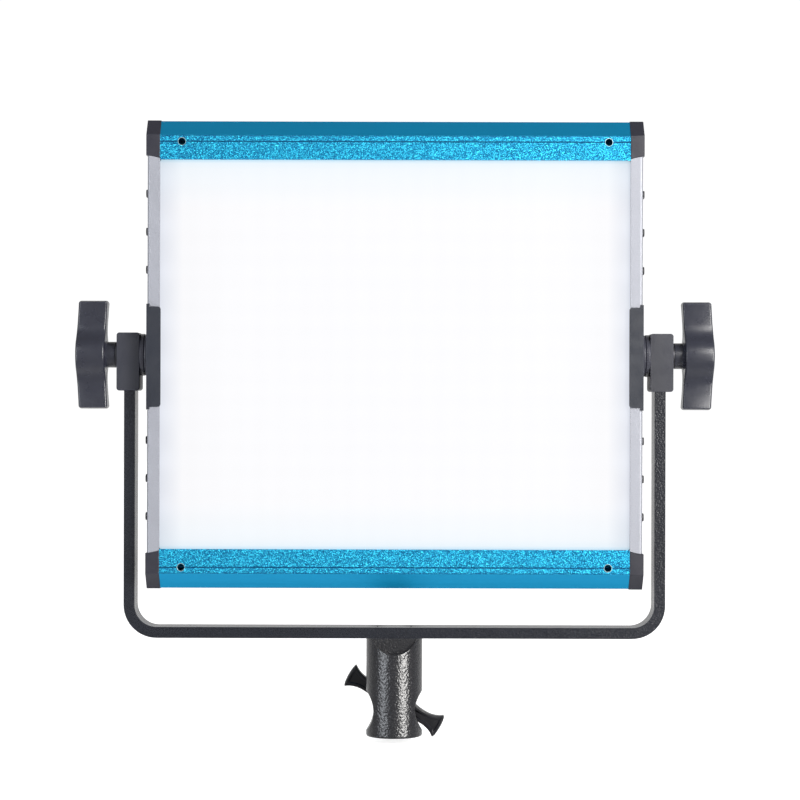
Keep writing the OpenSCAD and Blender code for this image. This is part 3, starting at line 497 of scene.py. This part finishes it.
def soften(node, width):
    """Breaks a CAD node's sharp edges with small rounds, as its moulding or tumbling would."""
    piece = NODES[node]
    clean = piece.modifiers.new("clean", "NODES")
    clean.node_group = CLEAN
    flat = piece.modifiers.new("flat", "DECIMATE")
    flat.decimate_type = "DISSOLVE"
    flat.angle_limit = math.radians(0.5)
    rounds = piece.modifiers.new("rounds", "BEVEL")
    rounds.width = width
    rounds.segments = 2
    rounds.limit_method = "ANGLE"
    rounds.angle_limit = SHARP_ANGLE
    rounds.use_clamp_overlap = True
    even = piece.modifiers.new("even", "WEIGHTED_NORMAL")
    even.mode = "FACE_AREA_WITH_ANGLE"
    even.weight = 90
    even.keep_sharp = True


SOFT_EDGES = {
    0.5 * MM: ["yoke_frame", "arm_block_left", "arm_block_right"],
    0.35 * MM: ["corner_cap_top_left", "corner_cap_top_right", "corner_cap_bottom_left",
                "corner_cap_bottom_right", "pivot_plate_left", "pivot_plate_right",
                "stand_adapter", "control_housing", "battery_latch_left", "battery_latch_right"],
    0.2 * MM: ["top_rail", "bottom_rail", "side_frame_left", "side_frame_right", "rear_cover",
               "power_rocker", "switch_housing", "dc_inlet", "mode_button", "menu_button",
               "side_vents_left", "side_vents_right"],
    0.1 * MM: ["panel_washer_left", "panel_washer_right", "yoke_washer_left", "yoke_washer_right",
               "thrust_washer_left", "thrust_washer_right", "lock_stud", "clamp_pad"],
}
for width, names in SOFT_EDGES.items():
    for name in names:
        soften(name, width)

# ---------------------------------------------------------------- building pieces

SMOOTH_ANGLE = math.radians(32)


def piece_from(bm, name, look, body):
    """Finishes a bmesh as a piece that rides on a body."""
    bmesh.ops.remove_doubles(bm, verts=bm.verts, dist=0.001 * MM)
    bmesh.ops.recalc_face_normals(bm, faces=bm.faces)
    mesh = bpy.data.meshes.new(name)
    for face in bm.faces:
        face.smooth = True
    for edge in bm.edges:
        edge.smooth = len(edge.link_faces) == 2 and edge.calc_face_angle(0) < SMOOTH_ANGLE
    bm.to_mesh(mesh)
    bm.free()
    piece = bpy.data.objects.new(name, mesh)
    bpy.context.scene.collection.objects.link(piece)
    paint(piece, look)
    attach(piece, body)
    return piece


def skin(bm, rings, capped=True):
    """Joins rings of points into a surface, which is closed at both ends if capped."""
    made = [[bm.verts.new(p) for p in ring] for ring in rings]
    count = len(made[0])
    for a, b in zip(made, made[1:]):
        for i in range(count):
            j = (i + 1) % count
            bm.faces.new((a[i], a[j], b[j], b[i]))
    if capped:
        for ring in (made[0], made[-1]):
            middle = bm.verts.new(sum((v.co for v in ring), Vector()) / count)
            for i in range(count):
                bm.faces.new((ring[i], ring[(i + 1) % count], middle))


def lathe(bm, profile, at, steps=72, shape=None):
    """Adds a solid turned about Y through a point. The profile lists (radius, y); shape changes a
    radius by the angle."""
    rings = []
    for radius, y in profile:
        ring = []
        for i in range(steps):
            a = 2 * math.pi * i / steps
            r = shape(radius, a) if shape else radius
            ring.append(Vector((at.x + r * math.cos(a), y, at.z + r * math.sin(a))))
        rings.append(ring)
    skin(bm, rings)


def block(bm, low, high):
    """Adds a box between two corners."""
    corners = [bm.verts.new((x, y, z)) for x in (low[0], high[0]) for y in (low[1], high[1])
               for z in (low[2], high[2])]
    for face in ((0, 1, 3, 2), (4, 6, 7, 5), (0, 4, 5, 1),
                 (2, 3, 7, 6), (0, 2, 6, 4), (1, 5, 7, 3)):
        bm.faces.new([corners[i] for i in face])


def wing_outline(length, tip, waist, waist_at, hub):
    """Points of a two-winged grip, wings along the second axis: a round hub that runs through a
    hollow curve to a waist and out again to the rounded tip. Counter-clockwise, from the side of
    the hub. All but the length are half widths, or heights above the middle."""
    per_quarter = 56
    # The lower hollow's radius would just touch the hub; 1% more makes sure that they cross
    lower = 1.01 * (waist ** 2 + waist_at ** 2 - hub ** 2) / (2 * (hub - waist))
    rise = length / 2 - waist_at
    upper = (rise ** 2 + (tip - waist) ** 2) / (2 * (tip - waist))

    def half_width(v):
        """How wide the grip is at a height, from its middle."""
        arc = lower if v < waist_at else upper
        hollow = waist + arc - math.sqrt(max(0.0, arc ** 2 - (v - waist_at) ** 2))
        inside = math.sqrt(max(0.0, hub ** 2 - v ** 2))
        end = math.sqrt(max(0.0, (length / 2) ** 2 - v ** 2))
        return min(max(inside, hollow), end)

    join = waist_at * 0.5
    while half_width(join) > math.sqrt(max(0.0, hub ** 2 - join ** 2)) + 1e-9 and join > 0:
        join -= hub * 0.002
    join_angle = math.asin(min(1.0, join / hub))
    top = math.sqrt((length / 2) ** 2 - tip ** 2)
    quarter = []
    arc_steps = per_quarter // 3
    for i in range(arc_steps):
        a = join_angle * i / arc_steps
        quarter.append((hub * math.cos(a), hub * math.sin(a)))
    side_steps = per_quarter // 2
    for i in range(side_steps):
        v = join + (top - join) * i / side_steps
        quarter.append((half_width(v), v))
    end_steps = per_quarter - arc_steps - side_steps
    start = math.atan2(top, tip)
    for i in range(end_steps):
        a = start + (math.pi / 2 - start) * i / end_steps
        quarter.append((length / 2 * math.cos(a), length / 2 * math.sin(a)))
    points = quarter + [(0.0, length / 2)] + [(-x, y) for x, y in reversed(quarter[1:])]
    points += [(-x, -y) for x, y in quarter] + [(0.0, -length / 2)]
    points += [(x, -y) for x, y in reversed(quarter[1:])]
    return points


def inset(points, distance):
    """The outline moved inwards; where moved points would cross at a corner, they meet in it."""
    if distance < 0.001 * MM:
        return points
    count = len(points)
    moved, good = [], []
    for i, (x, y) in enumerate(points):
        ax, ay = points[i - 1]
        bx, by = points[(i + 1) % count]
        dx, dy = bx - ax, by - ay
        long = math.hypot(dx, dy) or 1.0
        spot = (x - dy / long * distance, y + dx / long * distance)
        moved.append(spot)
        good.append(min(math.dist(spot, other) for other in points) > 0.97 * distance)
    kept = [i for i in range(count) if good[i]]
    for a, b in zip(kept, kept[1:] + [kept[0] + count]):
        for i in range(a + 1, b):
            part = (i - a) / (b - a)
            moved[i % count] = tuple(moved[a][k] + (moved[b % count][k] - moved[a][k]) * part
                                     for k in (0, 1))
    return moved


def rounded(points, passes):
    """Rounds the outline's corners by averaging each point with its neighbours."""
    count = len(points)
    for _ in range(passes):
        points = [tuple((points[i - 1][k] + 2 * points[i][k] + points[(i + 1) % count][k]) / 4
                        for k in (0, 1)) for i in range(count)]
    return points


def evenly(points, count):
    """The same closed outline with points at equal steps."""
    closed = points + points[:1]
    along = [0.0]
    for a, b in zip(closed, closed[1:]):
        along.append(along[-1] + math.dist(a, b))
    made = []
    k = 0
    for i in range(count):
        want = along[-1] * i / count
        while along[k + 1] < want:
            k += 1
        part = (want - along[k]) / ((along[k + 1] - along[k]) or 1.0)
        made.append(tuple(closed[k][j] + (closed[k + 1][j] - closed[k][j]) * part for j in (0, 1)))
    return made


FILLET_STEPS = 5
OUTLINE_POINTS = 240


def tilt_knob(side):
    """A clamp knob: domed outer face, filleted rims, slightly hollow inner face, stepped neck."""
    name = f"tilt_knob_{side}"
    low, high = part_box(name)
    out = SIDES[side]
    near, far = sorted((abs(low.x), abs(high.x)))
    length = high.z - low.z
    reach = length / 2
    hub = 12 * MM
    neck_r = 6.85 * MM
    neck_step = 0.7 * MM
    neck_chamfer = 0.3 * MM
    socket_r = 4.1 * MM
    socket_deep = 6 * MM
    rim_x = near + 4.2 * MM
    outline = wing_outline(length, tip=6.4 * MM, waist=4.9 * MM, waist_at=17 * MM, hub=hub)
    outline = rounded(evenly(outline, OUTLINE_POINTS), 2)
    fillet = 1.1 * MM
    fall = 2.0 * MM
    hollow = 1.0 * MM

    def outer(y, z):
        return far - fall * math.hypot(y, z) / reach

    def inner(y, z):
        return rim_x + hollow * min(1.0, (reach - math.hypot(y, z)) / (reach - hub))

    bm = bmesh.new()
    rings = []
    flat = inset(outline, fillet)
    # Outer face, from its middle to the fillet
    for share in (0.12, 0.25, 0.38, 0.5, 0.62, 0.74, 0.86, 0.94, 1.0):
        rings.append([(outer(y * share, z * share), y * share, z * share) for y, z in flat])
    for i in range(1, FILLET_STEPS + 1):
        a = math.pi / 2 * i / FILLET_STEPS
        ring = inset(outline, fillet * (1 - math.sin(a)))
        rings.append([(outer(y, z) - fillet * (1 - math.cos(a)), y, z) for y, z in ring])
    for i in range(FILLET_STEPS + 1):
        a = math.pi / 2 * i / FILLET_STEPS
        ring = inset(outline, fillet * (1 - math.cos(a)))
        rings.append([(inner(y, z) + fillet * (1 - math.sin(a)), y, z) for y, z in ring])
    for share in (0.9, 0.8, 0.68):
        rings.append([(inner(y * share, z * share), y * share, z * share) for y, z in flat])
    angles = [math.atan2(z, y) for y, z in outline]
    neck_top = rim_x + hollow
    for radius, x in ((neck_r + neck_step, neck_top), (neck_r, neck_top - neck_step),
                      (neck_r, near + neck_chamfer), (neck_r - neck_chamfer, near),
                      (socket_r, near), (socket_r, near + socket_deep)):
        rings.append([(x, radius * math.cos(a), radius * math.sin(a)) for a in angles])
    skin(bm, [[Vector((out * x, y, z)) + PIVOT for x, y, z in ring] for ring in rings])
    piece = piece_from(bm, f"{name}_grip", "knob_black", name)
    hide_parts(name)


for side in SIDES:
    tilt_knob(side)


def lock_handle():
    """The stand lock's handle: two flared wings with sunk faces and a rim, on a turned hub."""
    low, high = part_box("lock_handle")
    middle = centre("lock_stud")
    turn = math.radians(30)
    along = Vector((math.cos(turn), 0, -math.sin(turn)))
    across = Vector((math.sin(turn), 0, math.cos(turn)))
    boss = 1.5 * MM
    fillet = 0.7 * MM
    rim = 0.9 * MM
    sunk = 0.5 * MM
    outline = wing_outline(56.6 * MM, tip=7.2 * MM, waist=3.3 * MM, waist_at=18 * MM, hub=7.5 * MM)
    outline = rounded(evenly(outline, OUTLINE_POINTS), 9)

    def ring(distance, y, share=1.0):
        return [Vector((middle.x, y, middle.z)) + (across * u + along * v) * share
                for u, v in inset(outline, distance)]

    front, rear = low.y + boss, high.y - boss
    rings = []
    for face, way in ((front, 1), (rear, -1)):
        half = [ring(fillet + rim + sunk, face + way * sunk, share)
                for share in (0.25, 0.5, 0.75, 1.0)]
        half.append(ring(fillet + rim, face))
        for i in range(FILLET_STEPS + 1):
            a = math.pi / 2 * i / FILLET_STEPS
            half.append(ring(fillet * (1 - math.sin(a)), face + way * fillet * (1 - math.cos(a))))
        rings += half if way > 0 else half[::-1]
    bm = bmesh.new()
    skin(bm, rings)
    hub = 7.2 * MM
    step = 0.5 * MM
    recess_r = 3.6 * MM
    recess_floor_r = 3.4 * MM
    recess_deep = 0.9 * MM
    lathe(bm, [(hub - step, low.y), (hub, low.y + step), (hub, high.y - step),
               (hub - step, high.y), (recess_r, high.y),
               (recess_floor_r, high.y - recess_deep)], middle)
    piece = piece_from(bm, "lock_handle_grip", "handle_black", "lock_handle")
    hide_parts("lock_handle")


lock_handle()

# ---------------------------------------------------------------- dials and the print on the back


def dial(name):
    """A control dial with fine ribs, a dished top and a pale pointer."""
    low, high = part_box(name)
    middle = centre(name)
    radius = (high.x - low.x) / 2
    shaft = 3 * MM
    start = high.y - 10.4 * MM
    chamfer = 0.6 * MM
    ribs = 40
    steps_per_rib = 8
    rib_deep = 0.35 * MM

    def ribbed(r, a):
        """The dial's radius r at an angle; only its full radius is ribbed."""
        if r <= radius - 0.01 * MM:
            return r
        return r - rib_deep * (0.5 + 0.5 * math.cos(ribs * a)) ** 2

    dish = radius - 2.2 * MM
    bm = bmesh.new()
    lathe(bm, [(shaft, low.y), (shaft, start), (radius - chamfer, start),
               (radius, start + chamfer), (radius, high.y - 1.6 * MM),
               (radius - chamfer, high.y - 0.9 * MM), (radius - 0.9 * MM, high.y - 0.3 * MM),
               (radius - 1.3 * MM, high.y), (dish, high.y),
               (dish - 0.4 * MM, high.y - 0.35 * MM)],
          middle, steps=ribs * steps_per_rib, shape=ribbed)
    piece = piece_from(bm, f"{name}_cap", "dial_black", name)
    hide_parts(name)
    bm = bmesh.new()
    half_pointer = 0.4 * MM
    block(bm, (middle.x - half_pointer, high.y - 0.5 * MM, middle.z + 2.4 * MM),
          (middle.x + half_pointer, high.y - 0.25 * MM, middle.z + dish - 0.5 * MM))
    pointer = piece_from(bm, f"{name}_pointer", "print_white", name)


DIALS = ("brightness_knob", "colour_knob")
for name in DIALS:
    dial(name)

# The plane of the controls, and how far a print reaches on both sides of its own
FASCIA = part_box("control_housing")[1].y
PRINT = 0.03 * MM


def fascia_print():
    """Scales round the dials and short marks over the buttons, the switch and the inlet."""
    ticks = 11
    sweep = 270
    tick_from = 9.6 * MM
    long_tick, short_tick = 2.0 * MM, 1.2 * MM
    half_line = 0.18 * MM
    half_mark = 0.2
    bm = bmesh.new()
    for name in DIALS:
        middle = centre(name)
        for i in range(ticks):
            a = math.radians(sweep * (i / (ticks - 1) - 0.5))
            long = long_tick if i % 5 == 0 else short_tick
            way = Vector((math.sin(a), 0, math.cos(a)))
            side_way = Vector((math.cos(a), 0, -math.sin(a))) * half_line
            near_end = Vector((middle.x, FASCIA, middle.z)) + way * tick_from
            base = [near_end - side_way, near_end + side_way,
                    near_end + way * long + side_way, near_end + way * long - side_way]
            skin(bm, [[v + Vector((0, up, 0)) for v in base] for up in (-PRINT, PRINT)])
    for name, half, up in (("mode_button", 1.6, 6.2), ("menu_button", 1.6, 6.2),
                           ("switch_housing", 5.0, 10.2), ("dc_inlet", 3.0, 10.2)):
        middle = centre(name)
        block(bm, (middle.x - half * MM, FASCIA - PRINT, middle.z + (up - half_mark) * MM),
              (middle.x + half * MM, FASCIA + PRINT, middle.z + (up + half_mark) * MM))
    piece = piece_from(bm, "fascia_print", "print_white", "panel")


fascia_print()


def lathe_ring(bm, profile, at, base):
    """Adds a ring turned about Y. The profile lists (radius, y) in mm, from a base plane."""
    steps = 40
    rings = [[Vector((at.x + r * MM * math.cos(2 * math.pi * i / steps), base + y * MM,
                      at.z + r * MM * math.sin(2 * math.pi * i / steps))) for i in range(steps)]
             for r, y in profile]
    skin(bm, rings + [rings[0]], capped=False)


def power_light():
    """The small lens between the switch and the inlet, with its bezel."""
    at = (centre("switch_housing") + centre("dc_inlet")) / 2
    radius = 1.15 * MM
    shoulder = FASCIA + 0.25 * MM
    crown = 0.55 * MM
    bm = bmesh.new()
    profile = [(radius, FASCIA - 0.5 * MM), (radius, shoulder)]
    for i in range(1, 6):
        a = math.pi / 2 * i / 6
        profile.append((radius * math.cos(a), shoulder + crown * math.sin(a)))
    lathe(bm, profile, at, steps=32)
    lens = piece_from(bm, "power_light", "lens_green", "panel")
    bm = bmesh.new()
    lathe_ring(bm, [(1.2, -0.3), (1.2, 0.25), (1.5, 0.4), (1.9, 0.25), (1.9, -0.3)], at, FASCIA)
    bezel = piece_from(bm, "power_light_bezel", "encoder_metal", "panel")


power_light()


def display_bars():
    """Two level bars and a row of ticks on the display, under its window."""
    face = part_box("display_module")[1].y
    middle = centre("display_module")
    steps, ticks = 20, 5
    half_span = steps - 1
    half_step = 0.7 * MM
    half_tick = 0.25 * MM
    lit_tall, unlit_tall = 2.6, 0.5
    bm = bmesh.new()
    for row, lit in ((6.0, 14), (-2.0, 9)):
        for i in range(steps):
            x = middle.x + (half_span - 2 * i) * MM
            tall = lit_tall if i < lit else unlit_tall
            block(bm, (x - half_step, face - PRINT, middle.z + row * MM),
                  (x + half_step, face + PRINT, middle.z + (row + tall) * MM))
    for i in range(ticks):
        x = middle.x + half_span * (1 - 2 * i / (ticks - 1)) * MM
        block(bm, (x - half_tick, face - PRINT, middle.z - 7.5 * MM),
              (x + half_tick, face + PRINT, middle.z - 6.0 * MM))
    piece = piece_from(bm, "display_bars", "segment_dark", "panel")


display_bars()


def spec_label():
    """A blank rating label above the control housing, with a printed border."""
    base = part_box("rear_cover")[1].y
    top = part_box("control_housing")[1].z
    half_width, half_height, margin = 30 * MM, 5 * MM, MM
    x, z = half_width - margin, top + 8.5 * MM
    face = base + 0.12 * MM
    bm = bmesh.new()
    block(bm, (-half_width, base - PRINT, z - half_height), (half_width, face, z + half_height))
    label = piece_from(bm, "spec_label", "label_silver", "panel")
    bm = bmesh.new()
    half_line = 0.125 * MM
    up = 4.2 * MM
    for sz in (z - up, z + up):
        block(bm, (-x, face - PRINT, sz - half_line), (x, face + PRINT, sz + half_line))
    for sx in (-x, x):
        block(bm, (sx - half_line, face - PRINT, z - up), (sx + half_line, face + PRINT, z + up))
    border = piece_from(bm, "spec_label_border", "segment_dark", "panel")


spec_label()

# ---------------------------------------------------------------- rims of the accessory holes


def hole_rims():
    """A thin bright ring at the mouth of each accessory hole."""
    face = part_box("top_rail")[0].y
    rim = [(1.86, 0.6), (1.86, 0.02), (1.98, -0.08), (2.12, -0.08), (2.2, 0.05), (2.2, 0.6)]
    bm = bmesh.new()
    for x in (-1, 1):
        for z in (-1, 1):
            at = PIVOT + Vector((x * HOLE_SPAN / 2, 0, z * HOLE_UP))
            lathe_ring(bm, rim, at, face)
    piece = piece_from(bm, "hole_rims", "cut_rim", "panel")


hole_rims()

# ---------------------------------------------------------------- camera, floor and light

CAMERA_BACK = 1.351
CAMERA_HEIGHT = 0.1779
camera_data = bpy.data.cameras.new("camera")
camera_data.lens = 114.75
camera_data.sensor_width = 36
camera = bpy.data.objects.new("camera", camera_data)
camera.location = (0.0027, -CAMERA_BACK, CAMERA_HEIGHT)
camera.rotation_euler = (math.pi / 2, math.radians(-0.15), 0)
bpy.context.scene.collection.objects.link(camera)
bpy.context.scene.camera = camera

FLOOR_SIZE = 12
bm = bmesh.new()
bmesh.ops.create_grid(bm, x_segments=1, y_segments=1, size=FLOOR_SIZE / 2)
floor_mesh = bpy.data.meshes.new("floor")
bm.to_mesh(floor_mesh)
bm.free()
floor = bpy.data.objects.new("floor", floor_mesh)
floor.location = (0, 0, cad_box[0].z - 0.5 * MM)
bpy.context.scene.collection.objects.link(floor)
# The shiny pieces mirror the studio and not the paper, which would hide the feet of the lamps
floor.visible_glossy = False
paper = Graph("floor_look")
# The paper glows behind and under the light, as it would with a lamp on it, and less in front
glow = paper.remap(paper.axes()[1], -1.5, -0.1, 0.45, 0.80)
shade = paper.mix(paper.noise(3, 2), (0.80, 0.80, 0.80), (0.83, 0.83, 0.83))
floor_mesh.materials.append(paper.done(shade, 0.85, Emission_Color=(1, 1, 1, 1),
                                       Emission_Strength=glow))


LAMP_DISTANCE = 1.5
COOL, WARM = (0.90, 0.94, 1.0), (1.0, 0.985, 0.96)


def soft_box(name, azimuth, elevation, width, height, energy, colour):
    """A rectangular lamp that faces the panel. Azimuth 0 is in front, positive to the right."""
    data = bpy.data.lights.new(name, "AREA")
    data.shape = "RECTANGLE"
    data.size = width
    data.size_y = height
    data.energy = energy
    data.color = colour
    lamp = bpy.data.objects.new(name, data)
    a, e = math.radians(azimuth), math.radians(elevation)
    way = Vector((math.sin(a) * math.cos(e), -math.cos(a) * math.cos(e), math.sin(e)))
    lamp.location = Vector((0, 0, CAMERA_HEIGHT)) + way * LAMP_DISTANCE
    lamp.rotation_euler = way.to_track_quat("Z", "Y").to_euler()
    bpy.context.scene.collection.objects.link(lamp)


soft_box("left_box", -46, 0, 0.5, 1.1, 12, COOL)
soft_box("left_top", -36, 26, 0.5, 0.5, 2.5, COOL)
soft_box("right_box", 39, 0, 0.5, 1.1, 37, WARM)
soft_box("right_top", 32, 24, 0.5, 0.5, 15, WARM)

WHITE = 1.05
world = bpy.data.worlds.new("studio")
bpy.context.scene.world = world
world.use_nodes = True
tree = world.node_tree
back = tree.nodes["Background"]
back.inputs["Color"].default_value = (1, 1, 1, 1)
coords = tree.nodes.new("ShaderNodeTexCoord")
split = tree.nodes.new("ShaderNodeSeparateXYZ")
ramp = tree.nodes.new("ShaderNodeMapRange")
ramp.inputs["From Min"].default_value = 0.05
ramp.inputs["From Max"].default_value = 1.1
ramp.inputs["To Min"].default_value = 0.30
ramp.inputs["To Max"].default_value = WHITE
tree.links.new(coords.outputs["Generated"], split.inputs[0])
# Mirrored, the studio is dim in front and above, and bright behind and below; the ramp runs along
# a depth that counts Y, plus these shares of the way down and of the way up
depth = split.outputs[1]
for way, share in (("MINIMUM", -1.0), ("MAXIMUM", -0.45)):
    half = tree.nodes.new("ShaderNodeMath")
    half.operation = way
    half.inputs[1].default_value = 0.0
    tree.links.new(split.outputs[2], half.inputs[0])
    total = tree.nodes.new("ShaderNodeMath")
    total.operation = "MULTIPLY_ADD"
    total.inputs[1].default_value = share
    tree.links.new(half.outputs[0], total.inputs[0])
    tree.links.new(depth, total.inputs[2])
    depth = total.outputs[0]
tree.links.new(depth, ramp.inputs["Value"])
# The camera itself sees plain white
path = tree.nodes.new("ShaderNodeLightPath")
level = tree.nodes.new("ShaderNodeMix")
level.inputs[3].default_value = WHITE
tree.links.new(path.outputs["Is Camera Ray"], level.inputs[0])
tree.links.new(ramp.outputs["Result"], level.inputs[2])
tree.links.new(level.outputs[0], back.inputs["Strength"])

bpy.context.scene.view_settings.view_transform = "Standard"
